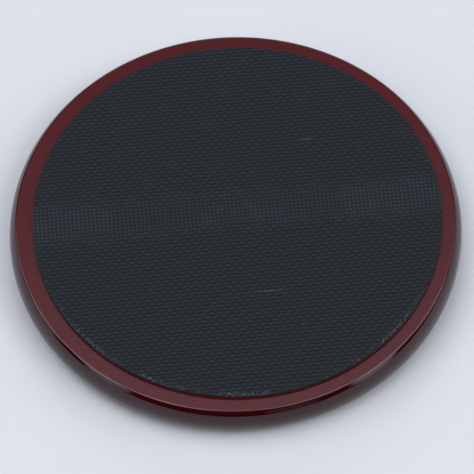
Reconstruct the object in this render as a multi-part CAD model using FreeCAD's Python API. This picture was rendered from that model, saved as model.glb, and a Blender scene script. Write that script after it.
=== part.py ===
"""Drum practice pad: a gum-rubber sheet glued on a round lacquered board with a rounded rim.

Frame: origin on the surface that the pad stands on, under the board's centre; +Z up, and -Y
towards the player. All lengths are in millimetres.
"""
import FreeCAD, Part
import math
import os

UP = FreeCAD.Vector(0, 0, 1)

# Driving dimensions
board_diameter = 254.0          # a ten-inch board
board_thickness = 21.0          # inch-thick hardwood, planed
rim_depth = 4.1                 # how far the rounded rim bulges past the arrises of the two faces
arris_radius = 0.8
sheet_diameter = 229.0          # nine inches, above and below
sheet_thickness = 2.2
sheet_shift = (1.2, -0.4)       # how far off centre, in X and Y, the playing sheet is glued
mat_thickness = 2.0
film_thickness = 0.2            # dried contact adhesive
film_setback = 0.5              # how far the adhesive stops short of the sheet's edge

# Threaded insert for a stand's M8 thread, let into the underside
thread_minor_radius = 3.4
barrel_radius = 5.9
barrel_clearance = 0.1
insert_length = 13.0
flange_radius = 8.0
flange_thickness = 1.5
pilot_relief = 1.0              # how much deeper the pilot hole is than the insert
drive_slot_width = 1.6
drive_slot_depth = 1.0
mat_hole_radius = 12.0          # the mat is cut clear of the insert

# Heights and radii that follow from them
board_radius = board_diameter / 2
sheet_radius = sheet_diameter / 2
board_bottom = mat_thickness + film_thickness
board_middle = board_bottom + board_thickness / 2
board_top = board_bottom + board_thickness
sheet_bottom = board_top + film_thickness
half_board = board_thickness / 2

# The rim is one arc, and each arris is a small arc tangent to it and to a flat face
rim_radius = (half_board ** 2 + rim_depth ** 2) / (2 * rim_depth)
rim_turn = math.asin((half_board - arris_radius) / (rim_radius - arris_radius))
arris_middle = (rim_turn + math.pi / 2) / 2
flat_radius = board_radius - rim_radius + (rim_radius - arris_radius) * math.cos(rim_turn)


def on_outline(radius, height):
    """Point of the board's section, at a height above its middle."""
    return FreeCAD.Vector(radius, 0, board_middle + height)


def on_arris(turn):
    """Point of an arris's round where the surface faces this far above the level, in radians."""
    height = math.copysign(half_board - arris_radius, turn)
    return on_outline(
        flat_radius + arris_radius * math.cos(turn),
        height + arris_radius * math.sin(turn),
    )


def cylinder(radius, bottom, height, shift=(0.0, 0.0)):
    """Upright cylinder, on the pad's axis unless it is shifted off it."""
    return Part.makeCylinder(radius, height, FreeCAD.Vector(*shift, bottom), UP)


def base_board():
    """Round board with two flat faces, a rounded rim and a stepped pocket for the insert."""
    low_centre, top_centre = on_outline(0, -half_board), on_outline(0, half_board)
    low_flat, top_flat = on_outline(flat_radius, -half_board), on_outline(flat_radius, half_board)
    low_round, top_round = on_arris(-rim_turn), on_arris(rim_turn)
    widest = on_outline(board_radius, 0)
    outline = Part.Wire([
        Part.makeLine(low_centre, low_flat),
        Part.Arc(low_flat, on_arris(-arris_middle), low_round).toShape(),
        Part.Arc(low_round, widest, top_round).toShape(),
        Part.Arc(top_round, on_arris(arris_middle), top_flat).toShape(),
        Part.makeLine(top_flat, top_centre),
        Part.makeLine(top_centre, low_centre),
    ])
    board = Part.Face(outline).revolve(FreeCAD.Vector(0, 0, 0), UP, 360)
    pilot = cylinder(barrel_radius + barrel_clearance, board_bottom, insert_length + pilot_relief)
    seat = cylinder(flange_radius + barrel_clearance, board_bottom, flange_thickness)
    return board.cut(pilot).cut(seat)


def playing_surface():
    """Gum-rubber sheet that the sticks strike."""
    return cylinder(sheet_radius, sheet_bottom, sheet_thickness, sheet_shift)


def surface_adhesive():
    """Adhesive film between the board and the playing sheet."""
    film_radius = sheet_radius - film_setback
    return cylinder(film_radius, board_top, film_thickness, sheet_shift)


def non_slip_mat():
    """Rubber sheet that the pad stands on, with a clear hole round the insert."""
    mat = cylinder(sheet_radius, 0, mat_thickness)
    return mat.cut(cylinder(mat_hole_radius, 0, mat_thickness))


def mat_adhesive():
    """Adhesive film between the mat and the board."""
    film = cylinder(sheet_radius - film_setback, mat_thickness, film_thickness)
    return film.cut(cylinder(mat_hole_radius + film_setback, mat_thickness, film_thickness))


def stand_insert():
    """Flanged brass insert, flush with the board's lower face, with a screwdriver slot."""
    flange = cylinder(flange_radius, board_bottom, flange_thickness)
    barrel = cylinder(barrel_radius, board_bottom, insert_length)
    bore = cylinder(thread_minor_radius, board_bottom, insert_length)
    slot = Part.makeBox(
        2 * flange_radius,
        drive_slot_width,
        drive_slot_depth,
        FreeCAD.Vector(-flange_radius, -drive_slot_width / 2, board_bottom),
    )
    return flange.fuse(barrel).cut(bore).cut(slot)


SUB_PARTS = [
    base_board,
    playing_surface,
    surface_adhesive,
    non_slip_mat,
    mat_adhesive,
    stand_insert,
]

os.makedirs("parts", exist_ok=True)
for make in SUB_PARTS:
    shape = make()
    shape.exportStep("parts/" + make.__name__ + ".step")
    print(make.__name__, "valid", shape.isValid(), "volume", round(shape.Volume), "box", shape.BoundBox)
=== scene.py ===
"""Looks for the practice pad: lacquered board, cloth-imprinted rubber, non-slip mat, brass insert.

Lengths are in metres, in the frame's own axes: +Z is up and the player stands on the -Y side.
"""
import math

import bmesh
import bpy
import numpy as np
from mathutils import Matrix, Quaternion, Vector


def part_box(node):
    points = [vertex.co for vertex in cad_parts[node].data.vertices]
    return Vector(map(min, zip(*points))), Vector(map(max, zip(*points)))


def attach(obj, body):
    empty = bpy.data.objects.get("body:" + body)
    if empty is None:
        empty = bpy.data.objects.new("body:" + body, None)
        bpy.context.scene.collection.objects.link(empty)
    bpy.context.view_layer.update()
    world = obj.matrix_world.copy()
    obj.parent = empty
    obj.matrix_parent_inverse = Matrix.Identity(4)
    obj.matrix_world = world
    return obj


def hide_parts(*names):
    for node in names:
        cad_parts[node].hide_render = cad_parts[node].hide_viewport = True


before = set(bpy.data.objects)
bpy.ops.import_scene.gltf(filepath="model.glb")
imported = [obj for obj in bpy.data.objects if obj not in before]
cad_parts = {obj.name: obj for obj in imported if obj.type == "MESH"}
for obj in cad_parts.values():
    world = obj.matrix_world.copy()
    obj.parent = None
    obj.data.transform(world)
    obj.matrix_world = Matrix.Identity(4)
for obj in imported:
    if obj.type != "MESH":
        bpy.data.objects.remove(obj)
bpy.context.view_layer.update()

MM = 0.001
scene = bpy.context.scene

# Places and sizes read from the frame
board_low, board_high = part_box("base_board")
sheet_low, sheet_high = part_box("playing_surface")
mat_low, mat_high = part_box("non_slip_mat")
insert_low, insert_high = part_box("stand_insert")
board_radius = (board_high.x - board_low.x) / 2
board_top = board_high.z
board_bottom = board_low.z
sheet_radius = (sheet_high.x - sheet_low.x) / 2
sheet_centre = (sheet_low + sheet_high) / 2
flange_radius = (insert_high.x - insert_low.x) / 2

# The board's section: one bulging arc between two small rounded arrises, and a stepped pocket
rim_depth = 4.1 * MM
arris_radius = 1.0 * MM
pocket_radius = 6.0 * MM
pocket_depth = 14.0 * MM
seat_radius = 8.1 * MM

# The brass insert
flange_thickness = 1.5 * MM
barrel_radius = 5.9 * MM
thread_minor_radius = 3.4 * MM
thread_major_radius = 4.0 * MM
thread_pitch = 1.25 * MM
small_chamfer = 0.3 * MM
slot_width = 1.6 * MM
slot_depth = 1.0 * MM

# The playing sheet's cloth imprint: a plain weave, turned a little from the player's line
weave_pitch = 2.3 * MM
weave_turn = math.radians(3.3)
weave_relief = 0.35 * MM

# A crisper strip along the weave's rows, where the cloth was pressed in harder, and where the sheet's
# colour carries a painted sheen
band_offset = 4.8 * MM
band_half_width = 9.5 * MM
band_fade = 13.0 * MM

# Light scratches on the sheet: two ends and a width each
scratches = [
    ((6.6, -49.6), (27.3, -48.6), 0.7),
    ((35.7, 49.7), (47.2, 49.9), 0.6),
    ((34.6, -71.2), (36.4, -71.0), 0.9),
]

# The mat's imprint, and the hole cut in it for the insert
stud_pitch = 3.6 * MM
stud_relief = 0.4 * MM
mat_hole_radius = 12.0 * MM

# The camera: a long lens, from the player's side
camera_distance = 2013 * MM        # from the centre of the board's top
camera_elevation = math.radians(58.24)
camera_aim = Vector((0.6 * MM, -12.3 * MM, board_top))
camera_roll = math.radians(-1.95)
sensor_width = 36.0
lens_per_width = 7.595             # focal length over the picture's width

# The floor, and the steps round the board and the insert
floor_width = 3.0
board_segments = 720
insert_segments = 96

# Soft light panels: azimuth from the far side round by the right, elevation, half angle, strength
light_colour = (0.97, 1.015, 1.125, 1)
room_light = 0.01
panel_fade = 0.25                  # the share of a half angle over which a panel's edge fades
panels = [
    (0, 90, 14, 2.1),              # overhead and round it
    (90, 72, 11, 0.6),
    (140, 64, 11, 2.6),
    (220, 64, 11, 3.2),
    (270, 72, 11, 2.4),
    (0, 74, 15, 0.55),             # on the far side, where the flat lacquer mirrors it
    (0, 58, 9, 0.3),
    (60, 54, 15, 2.0),             # high, at the far corners
    (300, 54, 15, 3.4),
    (105, 50, 11, 5.4),            # at the sides, which the upper arris mirrors
    (130, 48, 11, 3.6),
    (230, 52, 11, 1.0),
    (255, 50, 11, 2.3),
    (90, 25, 11, 4.4),             # lower at the sides, and behind
    (120, 27, 11, 1.9),
    (240, 27, 11, 4.1),
    (270, 25, 11, 2.0),
    (0, 30, 14, 3.1),
    (125, 9, 10, 1.6),             # lowest, round the player's side
    (160, 9, 10, 0.2),
    (235, 9, 10, 1.1),
    (270, 9, 10, 0.6),
]


# ---------------------------------------------------------------- mesh helpers

def new_object(name, vertices, faces):
    """Smooth-shaded mesh object whose normals point out and whose corners are sharp."""
    mesh = bpy.data.meshes.new(name)
    mesh.from_pydata(vertices, [], faces)
    mesh.validate()
    solid = bmesh.new()
    solid.from_mesh(mesh)
    open_edges = [edge for edge in solid.edges if edge.is_boundary]
    if open_edges:
        bmesh.ops.triangle_fill(solid, edges=open_edges, use_beauty=True)
    bmesh.ops.recalc_face_normals(solid, faces=solid.faces)
    solid.to_mesh(mesh)
    solid.free()
    mesh.polygons.foreach_set("use_smooth", [True] * len(mesh.polygons))
    mesh.set_sharp_from_angle(angle=math.radians(40))
    piece = bpy.data.objects.new(name, mesh)
    scene.collection.objects.link(piece)
    return piece


def lathe(name, outline, segments, closed=False):
    """Solid turned about the Z axis from (radius, height) points.

    A radius may be an array, one per segment; a plain 0 closes an end of the solid.
    """
    turns = np.linspace(0, 2 * math.pi, segments, endpoint=False)
    vertices = []
    rings = []
    for radius, height in outline:
        ring = np.stack([radius * np.cos(turns), radius * np.sin(turns), 0 * turns + height], -1)
        count = 1 if np.max(radius) == 0 else segments
        rings.append([len(vertices) + i % count for i in range(segments)])
        vertices += ring[:count].tolist()
    above = rings[1:] + (rings[:1] if closed else [])
    faces = []
    for low, high in zip(rings, above):
        for i in range(segments):
            corners = [low[i - 1], low[i], high[i], high[i - 1]]
            faces.append(list(dict.fromkeys(corners)))
    return new_object(name, vertices, faces)


def arc(centre, radius, start, end, count):
    """Points of an arc in a section's plane, both ends included."""
    return [
        (centre[0] + radius * math.cos(turn), centre[1] + radius * math.sin(turn))
        for turn in np.linspace(start, end, count)
    ]


def store(piece, name, values):
    """Keeps a number for each of the piece's first vertices, and 0 for the rest."""
    numbers = np.zeros(len(piece.data.vertices))
    numbers[:len(values)] = values
    attribute = piece.data.attributes.new(name, "FLOAT", "POINT")
    attribute.data.foreach_set("value", numbers)


# ---------------------------------------------------------------- board

def board_outline():
    """Section of the board from its pocket, under the board and round the rim, to the top."""
    half = (board_top - board_bottom) / 2
    middle = board_bottom + half
    reach = half - arris_radius
    rim_radius = (half ** 2 + rim_depth ** 2) / (2 * rim_depth)
    rim_turn = math.asin(reach / (rim_radius - arris_radius))
    rim_centre = board_radius - rim_radius
    flat_radius = rim_centre + (rim_radius - arris_radius) * math.cos(rim_turn)
    guard = 0.3 * MM               # one more ring beside each arris keeps the flats' shading flat
    return [
        (0, board_bottom + pocket_depth),
        (pocket_radius, board_bottom + pocket_depth),
        (pocket_radius, board_bottom + flange_thickness),
        (seat_radius, board_bottom + flange_thickness),
        (seat_radius, board_bottom),
        (flat_radius - guard, board_bottom),
        *arc((flat_radius, middle - reach), arris_radius, -math.pi / 2, -rim_turn, 7),
        *arc((rim_centre, middle), rim_radius, -rim_turn, rim_turn, 41)[1:-1],
        *arc((flat_radius, middle + reach), arris_radius, rim_turn, math.pi / 2, 7),
        (flat_radius - guard, board_top),
        (0, board_top),
    ]


def make_board(material):
    board = lathe("board", board_outline(), board_segments)
    board.data.materials.append(material)
    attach(board, "root")
    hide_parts("base_board")


# ---------------------------------------------------------------- imprinted rubber sheets

def on_band(x, y):
    """Up to 1 inside the strip that was pressed harder and that carries a painted sheen, most at its
    two ends, and 0 outside it.
    """
    outside = np.abs(y - band_offset) - band_half_width
    ends = np.abs(x) / sheet_radius
    return np.clip(0.5 - outside / band_fade, 0, 1) * (0.7 + 0.3 * ends)


def cloth_imprint(x, y):
    """Plain weave, 0 in its gaps and about 1 on its threads; the rows run along x.

    The rows stand proud of the columns. Where the cloth was pressed harder they are level and
    narrower, with wider gaps.
    """
    u, v = x / weave_pitch, y / weave_pitch
    in_row = 1 - 2 * (np.floor(v) % 2)
    in_column = 1 - 2 * (np.floor(u) % 2)
    pressed = on_band(x, y)
    lift = 0.3 + 0.4 * pressed
    weave = 0.3 - 0.15 * pressed
    narrow = 1 + 3 * pressed
    row = 0.7 * np.abs(np.sin(math.pi * v)) ** narrow + weave * in_row * np.sin(math.pi * u)
    column = lift * np.abs(np.sin(math.pi * u)) ** narrow - weave * in_column * np.sin(math.pi * v)
    return np.clip(np.maximum(row, column), 0, 1)


def stud_imprint(x, y):
    """Rows of low round studs, 0 between them and 1 on their flat tops."""
    studs = np.abs(np.sin(math.pi * x / stud_pitch) * np.sin(math.pi * y / stud_pitch))
    return np.clip(1.9 * studs - 0.35, 0, 1)


def imprinted_disc(name, centre, radius, hole_radius, face, back, spacing, turn, relief, imprint):
    """Die-cut round sheet with an imprint sunk into its face, on a grid that follows the imprint.

    The grid's cells that cross a cut keep their place, and their outer corners move onto the cut.
    Gives the piece, and the x and y of its face's vertices along and across the imprint.
    """
    count = int(radius / spacing) + 2
    line = np.arange(-count, count + 1) * spacing
    x, y = np.meshgrid(line, line, indexing="ij")
    reach = np.hypot(x, y)
    sliver = 0.1 * spacing
    inside = (reach < radius - sliver) & ((reach > hole_radius + sliver) | (hole_radius == 0))
    cell = inside[:-1, :-1] | inside[1:, :-1] | inside[1:, 1:] | inside[:-1, 1:]
    used = np.zeros_like(inside)
    for i in (0, 1):
        for j in (0, 1):
            used[i:2 * count + i, j:2 * count + j] |= cell
    at_rim = used & ~inside & (reach > radius / 2)
    at_hole = used & ~inside & ~at_rim
    scale = np.ones_like(reach)
    scale[at_rim] = radius / reach[at_rim]
    scale[at_hole] = hole_radius / reach[at_hole]
    x, y = (x * scale)[used], (y * scale)[used]
    height = imprint(x, y)
    across = centre.x + x * math.cos(turn) - y * math.sin(turn)
    along = centre.y + x * math.sin(turn) + y * math.cos(turn)
    sunk = face + math.copysign(relief, back - face) * (1 - height)
    vertices = np.stack([across, along, sunk], -1).tolist()

    number = np.full(used.shape, -1)
    number[used] = np.arange(len(vertices))
    i, j = np.nonzero(cell)
    corners = [number[i, j], number[i + 1, j], number[i + 1, j + 1], number[i, j + 1]]
    faces = np.stack(corners, -1).tolist()
    for at_cut in (at_rim, at_hole):
        cut = number[at_cut]
        bearing = np.arctan2(along[cut] - centre.y, across[cut] - centre.x)
        cut = cut[np.argsort(bearing)].tolist()
        foot = list(range(len(vertices), len(vertices) + len(cut)))
        vertices += [[*vertices[k][:2], back] for k in cut]
        faces += [[cut[k - 1], cut[k], foot[k], foot[k - 1]] for k in range(len(cut))]
    piece = new_object(name, vertices, faces)
    store(piece, "imprint", height)
    return piece, x, y


def make_playing_sheet(face_material, edge_material):
    sheet, x, y = imprinted_disc(
        "playing_sheet", sheet_centre, sheet_radius, 0, sheet_high.z, sheet_low.z,
        weave_pitch / 3, weave_turn, weave_relief, cloth_imprint,
    )
    store(sheet, "band", on_band(x, y))
    sheet.data.materials.append(face_material)
    sheet.data.materials.append(edge_material)
    for face in sheet.data.polygons:
        face.material_index = int(abs(face.normal.z) < 0.1)
    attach(sheet, "root")
    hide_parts("playing_surface")


def make_mat(material):
    mat = imprinted_disc(
        "mat", (mat_low + mat_high) / 2, (mat_high.x - mat_low.x) / 2, mat_hole_radius,
        mat_low.z, mat_high.z, stud_pitch / 4, 0, stud_relief, stud_imprint,
    )[0]
    mat.data.materials.append(material)
    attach(mat, "root")
    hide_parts("non_slip_mat")


# ---------------------------------------------------------------- insert

def insert_outline(segments):
    """Section of the insert: up its outside, then down its helical thread."""
    low, high = insert_low.z, insert_high.z
    seat = low + flange_thickness
    mouth = thread_major_radius + small_chamfer
    turn = np.arange(segments) / segments
    outline = [
        (mouth, low),
        (flange_radius - small_chamfer, low),
        (flange_radius, low + small_chamfer),
        (flange_radius, seat),
        (barrel_radius, seat),
        (barrel_radius, high - small_chamfer),
        (barrel_radius - small_chamfer, high),
        (mouth, high),
    ]
    depth = thread_major_radius - thread_minor_radius
    threaded = (high - low) - 2 * small_chamfer
    steps = round(8 * threaded / thread_pitch)
    for step in range(steps + 1):
        height = high - small_chamfer - threaded * step / steps
        ramp = np.abs(2 * ((height / thread_pitch - turn) % 1) - 1)
        groove = np.clip(1.5 * ramp - 0.25, 0, 1)
        outline.append((thread_minor_radius + depth * groove, height))
    return outline


def cut_slot(insert):
    """Cuts the driving slot across the flange's face."""
    half_length = flange_radius + 1 * MM
    low, high = insert_low.z - 1 * MM, insert_low.z + slot_depth
    corners = [
        (x, y, z)
        for x in (-half_length, half_length)
        for y in (-slot_width / 2, slot_width / 2)
        for z in (low, high)
    ]
    sides = [(0, 1, 3, 2), (4, 6, 7, 5), (0, 4, 5, 1), (2, 3, 7, 6), (0, 2, 6, 4), (1, 5, 7, 3)]
    cutter = new_object("slot_cutter", corners, sides)
    cut = insert.modifiers.new("slot", "BOOLEAN")
    cut.object = cutter
    cut.operation = "DIFFERENCE"
    cut.solver = "EXACT"
    made = insert.evaluated_get(bpy.context.evaluated_depsgraph_get())
    insert.data = bpy.data.meshes.new_from_object(made)
    insert.modifiers.clear()
    insert.data.set_sharp_from_angle(angle=math.radians(40))
    bpy.data.objects.remove(cutter)


def make_insert(material):
    insert = lathe("insert", insert_outline(insert_segments), insert_segments, closed=True)
    cut_slot(insert)
    insert.data.materials.append(material)
    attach(insert, "root")
    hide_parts("stand_insert")


# ---------------------------------------------------------------- node helper

class Paint:
    """A material's node tree; places in it are in millimetres, in the object's axes."""

    def __init__(self, name):
        self.material = bpy.data.materials.new(name)
        self.material.use_nodes = True
        self.tree = self.material.node_tree
        self.shader = self.tree.nodes["Principled BSDF"]
        where = self.node("ShaderNodeTexCoord").outputs["Object"]
        self.place = self.node("ShaderNodeVectorMath", {0: where, "Scale": 1 / MM}, operation="SCALE")
        self.place = self.place.outputs["Vector"]

    def node(self, kind, sockets=None, **settings):
        made = self.tree.nodes.new(kind)
        for name, value in settings.items():
            setattr(made, name, value)
        for name, value in (sockets or {}).items():
            self.feed(made.inputs[name], value)
        return made

    def feed(self, socket, value):
        if isinstance(value, bpy.types.NodeSocket):
            self.tree.links.new(value, socket)
        else:
            socket.default_value = value

    def set(self, **sockets):
        """Feeds the shader's own sockets; an underscore stands for a space."""
        for name, value in sockets.items():
            self.feed(self.shader.inputs[name.replace("_", " ")], value)

    def math(self, operation, a, b=0.0):
        return self.node("ShaderNodeMath", {0: a, 1: b}, operation=operation).outputs[0]

    def times(self, *values):
        """The product of several values."""
        product = values[0]
        for value in values[1:]:
            product = self.math("MULTIPLY", product, value)
        return product

    def unrolled(self, centre, radius):
        """A place unrolled round an upright axis, then its distance from the axis, and its y."""
        sockets = {0: self.place, 1: centre / MM}
        place = self.node("ShaderNodeVectorMath", sockets, operation="SUBTRACT").outputs[0]
        x, y, z = self.node("ShaderNodeSeparateXYZ", {0: place}).outputs
        turn = self.math("ARCTAN2", y, x)
        out = self.math("SQRT", self.math("ADD", self.times(x, x), self.times(y, y)))
        sockets = {0: self.times(turn, radius / MM), 1: out, 2: z}
        return self.node("ShaderNodeCombineXYZ", sockets).outputs[0], out, y

    def stroke(self, start, end, width):
        """1 along a thin soft line between two places on the XY plane, and 0 away from it."""
        middle = [(a + b) / 2 for a, b in zip(start, end)]
        sockets = {
            "Vector": self.place,
            "Location": (*middle, 0),
            "Rotation": (0, 0, math.atan2(end[1] - start[1], end[0] - start[0])),
            "Scale": (math.dist(start, end) / 2, width / 2, 1000),
        }
        local = self.node("ShaderNodeMapping", sockets, vector_type="TEXTURE").outputs[0]
        reach = self.node("ShaderNodeVectorMath", {0: local}, operation="LENGTH").outputs["Value"]
        return self.ramp(reach, 0.4, 1.0, 1.0, 0.0)

    def stored(self, name):
        """A number kept on the mesh's vertices."""
        return self.node("ShaderNodeAttribute", attribute_name=name).outputs["Fac"]

    def noise(self, size, detail=2.0, place=None):
        """Noise from 0 to 1; size is its blotches' length along each axis."""
        scale = [1 / along for along in size]
        mapped = self.node("ShaderNodeMapping", {"Vector": place or self.place, "Scale": scale})
        sockets = {"Vector": mapped.outputs[0], "Scale": 1.0, "Detail": detail}
        return self.node("ShaderNodeTexNoise", sockets).outputs["Fac"]

    def ramp(self, value, low, high, to_low=0.0, to_high=1.0):
        """Maps a range of values smoothly onto another, and holds it outside the range."""
        sockets = {
            "Value": value, "From Min": low, "From Max": high, "To Min": to_low, "To Max": to_high,
        }
        made = self.node("ShaderNodeMapRange", sockets, interpolation_type="SMOOTHSTEP")
        return made.outputs["Result"]

    def mix(self, share, a, b):
        """A colour between a and b."""
        return self.node("ShaderNodeMix", {0: share, 6: a, 7: b}, data_type="RGBA").outputs[2]

    def bump(self, height, distance, under=None):
        """Normal of a surface whose height, from 0 to 1, is worth this distance."""
        sockets = {"Height": height, "Distance": distance}
        if under is not None:
            sockets["Normal"] = under
        return self.node("ShaderNodeBump", sockets).outputs["Normal"]


# ---------------------------------------------------------------- materials

def lacquer_material():
    """Deep burgundy lacquer over hardwood: glossy, streaked by the grain, with painted shade darkening
    the rim.
    """
    paint = Paint("burgundy_lacquer")
    out = paint.unrolled(Vector(), board_radius)[1]
    arris = (board_radius - rim_depth) / MM
    streaks = paint.ramp(paint.noise((30, 1.4, 1.4), detail=4), 0.35, 0.7)
    clouds = paint.ramp(paint.noise((50, 35, 35)), 0.3, 0.7)
    colour = paint.mix(streaks, (0.05, 0.0026, 0.0037, 1), (0.057, 0.0033, 0.0044, 1))
    colour = paint.mix(paint.times(clouds, 0.25), colour, (0.043, 0.002, 0.0029, 1))
    # painted shade: the rim below the upper arris gets a much darker colour than the flat top
    colour = paint.mix(paint.ramp(out, arris - 0.2, arris + 0.8), colour, (0.02, 0.0013, 0.0024, 1))
    paint.set(
        Base_Color=colour,
        Roughness=paint.ramp(paint.noise((9, 9, 9)), 0.3, 0.7, 0.035, 0.06),
        IOR=1.5,
        Normal=paint.bump(paint.noise((2.6, 2.6, 2.6)), 0.006 * MM),
    )
    return paint.material


def rubber_grain(paint, distance):
    """Fine grain of moulded rubber."""
    return paint.bump(paint.noise((0.35, 0.35, 0.35), detail=3), distance)


def scratches_and_glints(paint):
    """How much lighter the playing sheet is painted: chalky along its scratches, and with painted
    glints in patches of its player-side edge.
    """
    worn = 0.0
    for start, end, width in scratches:
        worn = paint.math("MAXIMUM", paint.stroke(start, end, width), worn)
    unrolled, out, y = paint.unrolled(sheet_centre, sheet_radius)
    edge = sheet_radius / MM
    # painted glints: lighter dashes on the weave near the player-side edge
    edge_glints = paint.times(
        paint.ramp(paint.noise((1.3, 1.5, 100), place=unrolled), 0.5, 0.62),
        paint.ramp(paint.noise((24, 24, 24)), 0.4, 0.55),
        paint.ramp(out, edge - 3, edge - 1.4),
        paint.ramp(y, -70, -45, 1.0, 0.0),
    )
    broken = paint.ramp(paint.noise((1.1, 1.1, 1.1), detail=3), 0.3, 0.55)
    return paint.times(paint.math("MAXIMUM", worn, edge_glints), broken)


def playing_rubber_material():
    """Blue-grey rubber with painted shade in the imprint's gaps, a painted sheen on the pressed strip,
    chalky scratches and painted glints at its player-side edge.
    """
    paint = Paint("playing_rubber")
    threads = paint.ramp(paint.stored("imprint"), 0.15, 0.85)
    clouds = paint.ramp(paint.noise((40, 40, 40)), 0.3, 0.7)
    # painted shade: the imprint's gaps get a much darker colour than its threads
    colour = paint.mix(threads, (0.0021, 0.0028, 0.0037, 1), (0.0122, 0.0152, 0.0186, 1))
    # painted sheen: the threads on the pressed strip get a lighter colour
    pressed = paint.times(paint.stored("band"), threads, paint.ramp(clouds, 0, 1, 0.25, 0.6))
    colour = paint.mix(pressed, colour, (0.036, 0.042, 0.048, 1))
    colour = paint.mix(paint.times(clouds, 0.1), colour, (0.006, 0.007, 0.009, 1))
    # chalky scratches, and painted glints along the player-side edge, as a lighter colour
    colour = paint.mix(paint.times(scratches_and_glints(paint), 0.7), colour, (0.075, 0.087, 0.098, 1))
    paint.set(
        Base_Color=colour,
        Roughness=paint.ramp(paint.noise((3, 3, 3)), 0.3, 0.7, 0.55, 0.68),
        Specular_IOR_Level=0.14,
        Normal=rubber_grain(paint, 0.03 * MM),
    )
    return paint.material


def cut_rubber_material():
    """The sheet's knife-cut edge: brownish black, with fine upright cutting marks."""
    paint = Paint("cut_rubber")
    unrolled = paint.unrolled(sheet_centre, sheet_radius)[0]
    marks = paint.noise((0.4, 10, 3), detail=3, place=unrolled)
    paint.set(
        Base_Color=paint.mix(marks, (0.005, 0.005, 0.005, 1), (0.012, 0.011, 0.01, 1)),
        Roughness=0.8,
        Normal=paint.bump(marks, 0.05 * MM),
    )
    return paint.material


def mat_rubber_material():
    """Charcoal non-slip rubber, dusty between its studs."""
    paint = Paint("mat_rubber")
    studs = paint.ramp(paint.stored("imprint"), 0.0, 0.8)
    dust = paint.ramp(paint.noise((14, 14, 14), detail=4), 0.4, 0.75, 0.0, 0.5)
    gaps = paint.mix(dust, (0.01, 0.01, 0.011, 1), (0.028, 0.026, 0.024, 1))
    paint.set(
        Base_Color=paint.mix(studs, gaps, (0.016, 0.0165, 0.018, 1)),
        Roughness=paint.ramp(studs, 0, 1, 0.85, 0.6),
        Normal=rubber_grain(paint, 0.04 * MM),
    )
    return paint.material


def adhesive_material():
    """Dried contact adhesive: brown, brushed on in streaks."""
    paint = Paint("contact_adhesive")
    brush = paint.noise((18, 1.5, 1.5), detail=4)
    paint.set(
        Base_Color=paint.mix(brush, (0.035, 0.018, 0.008, 1), (0.09, 0.05, 0.022, 1)),
        Roughness=paint.ramp(brush, 0.3, 0.7, 0.35, 0.6),
        Normal=paint.bump(brush, 0.08 * MM),
    )
    return paint.material


def brass_material():
    """Turned brass: fine rings from the lathe, and brown tarnish in places."""
    paint = Paint("turned_brass")
    unrolled = paint.unrolled(Vector(), flange_radius)[0]
    rings = paint.noise((400, 0.12, 0.12), place=unrolled)
    tarnish = paint.ramp(paint.noise((3, 3, 3), detail=4), 0.45, 0.75, 0.0, 0.7)
    paint.set(
        Base_Color=paint.mix(tarnish, (0.72, 0.5, 0.2, 1), (0.3, 0.17, 0.07, 1)),
        Metallic=1.0,
        Roughness=paint.ramp(tarnish, 0, 0.7, 0.24, 0.5),
        Normal=paint.bump(rings, 0.02 * MM),
    )
    return paint.material


def floor_material():
    paint = Paint("pale_floor")
    paint.set(Base_Color=(0.5, 0.5, 0.5, 1), Roughness=0.7, Specular_IOR_Level=0.2)
    return paint.material


# ---------------------------------------------------------------- stage

def make_floor(material):
    half = floor_width / 2
    corners = [(-half, -half, 0), (half, -half, 0), (half, half, 0), (-half, half, 0)]
    mesh = bpy.data.meshes.new("floor")
    mesh.from_pydata(corners, [], [(0, 1, 2, 3)])
    mesh.materials.append(material)
    floor = bpy.data.objects.new("floor", mesh)
    scene.collection.objects.link(floor)


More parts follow.
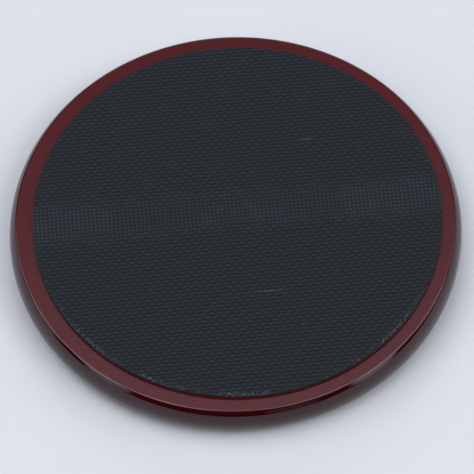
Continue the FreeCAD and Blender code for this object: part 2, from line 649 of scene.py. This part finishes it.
def make_camera():
    data = bpy.data.cameras.new("camera")
    data.sensor_width = sensor_width
    data.lens = sensor_width * lens_per_width
    data.clip_start = 0.01
    camera = bpy.data.objects.new("camera", data)
    scene.collection.objects.link(camera)
    back = Vector((0, -math.cos(camera_elevation), math.sin(camera_elevation)))
    camera.location = Vector((0, 0, board_top)) + camera_distance * back
    look = (camera_aim - camera.location).to_track_quat("-Z", "Y")
    camera.rotation_mode = "QUATERNION"
    camera.rotation_quaternion = look @ Quaternion((0, 0, 1), camera_roll)
    scene.camera = camera


def make_lights():
    """A dim room with soft-edged light panels, all painted on the world."""
    world = bpy.data.worlds.new("studio")
    world.use_nodes = True
    scene.world = world
    tree = world.node_tree
    direction = tree.nodes.new("ShaderNodeTexCoord").outputs["Generated"]
    total = None
    for azimuth, elevation, half_angle, strength in panels:
        azimuth, elevation = math.radians(azimuth), math.radians(elevation)
        level = math.cos(elevation)
        towards = (level * math.sin(azimuth), level * math.cos(azimuth), math.sin(elevation))
        facing = tree.nodes.new("ShaderNodeVectorMath")
        facing.operation = "DOT_PRODUCT"
        facing.inputs[1].default_value = towards
        tree.links.new(direction, facing.inputs[0])
        panel = tree.nodes.new("ShaderNodeMapRange")
        panel.interpolation_type = "SMOOTHSTEP"
        panel.inputs["From Min"].default_value = math.cos(math.radians(half_angle * (1 + panel_fade)))
        panel.inputs["From Max"].default_value = math.cos(math.radians(half_angle * (1 - panel_fade)))
        panel.inputs["To Max"].default_value = strength
        tree.links.new(facing.outputs["Value"], panel.inputs["Value"])
        add = tree.nodes.new("ShaderNodeMath")
        add.inputs[0].default_value = room_light
        if total:
            tree.links.new(total, add.inputs[0])
        tree.links.new(panel.outputs["Result"], add.inputs[1])
        total = add.outputs[0]
    tree.links.new(total, tree.nodes["Background"].inputs["Strength"])
    tree.nodes["Background"].inputs["Color"].default_value = light_colour


make_camera()
make_lights()
make_floor(floor_material())
scene.view_settings.view_transform = "Standard"

make_board(lacquer_material())
make_playing_sheet(playing_rubber_material(), cut_rubber_material())
make_mat(mat_rubber_material())
make_insert(brass_material())
adhesive = adhesive_material()
for film in ("surface_adhesive", "mat_adhesive"):
    bpy.data.objects[film].data.materials.clear()
    bpy.data.objects[film].data.materials.append(adhesive)
